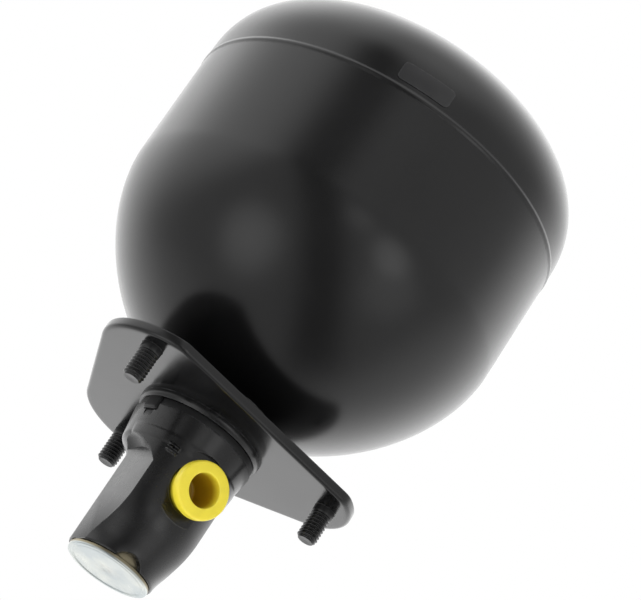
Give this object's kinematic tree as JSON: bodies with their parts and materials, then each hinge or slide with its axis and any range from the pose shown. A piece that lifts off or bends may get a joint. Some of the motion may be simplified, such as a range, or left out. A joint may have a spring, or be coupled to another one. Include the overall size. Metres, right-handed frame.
{
  "type": "hydraulic reservoir",
  "caption": "Welded diaphragm pressure reservoir on a stud flange, with a valve block and a plugged side port.",
  "frame": {"origin": "on the vessel axis, in the mounting flange's stud-side face", "axes": "+Z along the vessel axis to the gas end, -Y the way the side port faces"},
  "size_m": [0.1154, 0.1154, 0.1796],
  "materials": {
    "black_paint": "satin",
    "flange_paint": "satin",
    "block_black": "satin",
    "black_zinc": "satin",
    "zinc": "satin",
    "steel": "satin",
    "brass": "satin",
    "rubber": "matte",
    "backup_plastic": "matte",
    "plug_plastic": "satin",
    "label_film": "satin"
  },
  "bodies": {
    "reservoir": {"fluid_shell": "black_paint", "gas_shell": "black_paint", "seam_weld": "black_paint", "gas_fill_plug": "black_zinc", "gas_plug_seal": "steel", "rating_label": "label_film", "outlet_neck": "black_paint", "neck_weld": "black_paint", "neck_o_ring": "rubber", "neck_backup_ring": "backup_plastic", "diaphragm": "rubber", "diaphragm_clamp_ring": "steel", "mounting_flange": "flange_paint", "mounting_studs": "black_zinc", "valve_body": "block_black", "neck_lock_ring": "black_zinc", "valve_seat": "steel", "poppet_spring": "steel", "poppet_guide": "brass", "end_plug": "zinc", "end_plug_o_ring": "rubber", "end_plug_lock_ring": "steel"},
    "button": {"diaphragm_button": "steel"},
    "poppet": {"valve_poppet": "steel"},
    "transport_plug": {"port_plug": "plug_plastic"}
  },
  "joints": [
    {"name": "plug_pull", "type": "slide", "parent": "reservoir", "child": "transport_plug", "axis": [0, -1, 0], "range_m": [0, 0.03]},
    {"name": "poppet_lift", "type": "slide", "parent": "reservoir", "child": "poppet", "axis": [0, 0, -1], "range_m": [0, 0.003], "deforming": ["poppet_spring"]},
    {"name": "button_lift", "type": "slide", "parent": "reservoir", "child": "button", "axis": [0, 0, 1], "range_m": [0, 0.06], "deforming": ["diaphragm"]}
  ]
}
